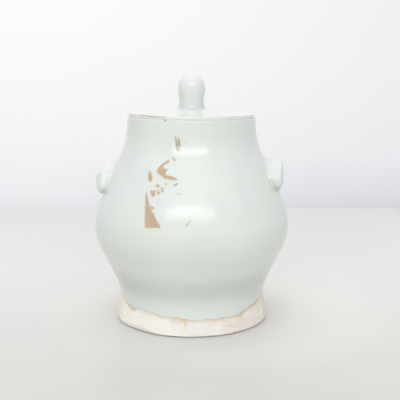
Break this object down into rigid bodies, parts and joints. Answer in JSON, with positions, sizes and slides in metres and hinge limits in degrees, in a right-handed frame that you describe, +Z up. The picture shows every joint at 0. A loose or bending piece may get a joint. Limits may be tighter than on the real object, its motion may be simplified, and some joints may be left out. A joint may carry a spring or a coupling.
{
  "type": "covered ceramic jar",
  "caption": "Covered ceramic storage jar with a round belly, flat mouth, hollow splayed foot, solid side ears and a flush lift-off lid with a finger knob.",
  "frame": {"origin": "on the jar's axis, in the plane that the foot stands on", "axes": "+Z up along the jar's axis, +X through the right ear and -X through the left ear; the pictured front faces -Y"},
  "size_m": [0.1786, 0.1786, 0.2253],
  "materials": {
    "glaze": "glossy pale celadon glaze",
    "lid_glaze": "glossy near-white celadon glaze",
    "bare_clay": "matt unglazed cream clay"
  },
  "bodies": {
    "jar": {"foot_ring": "bare_clay", "lower_body": "glaze", "upper_body": "glaze", "left_ear": "glaze", "right_ear": "glaze"},
    "lid": {"lid_plate": "lid_glaze", "lid_collar": "lid_glaze", "lid_knob": "lid_glaze"}
  },
  "joints": [
    {"name": "lid_lift", "type": "slide", "parent": "jar", "child": "lid", "axis": [0, 0, 1], "range_m": [0, 0.15]}
  ]
}
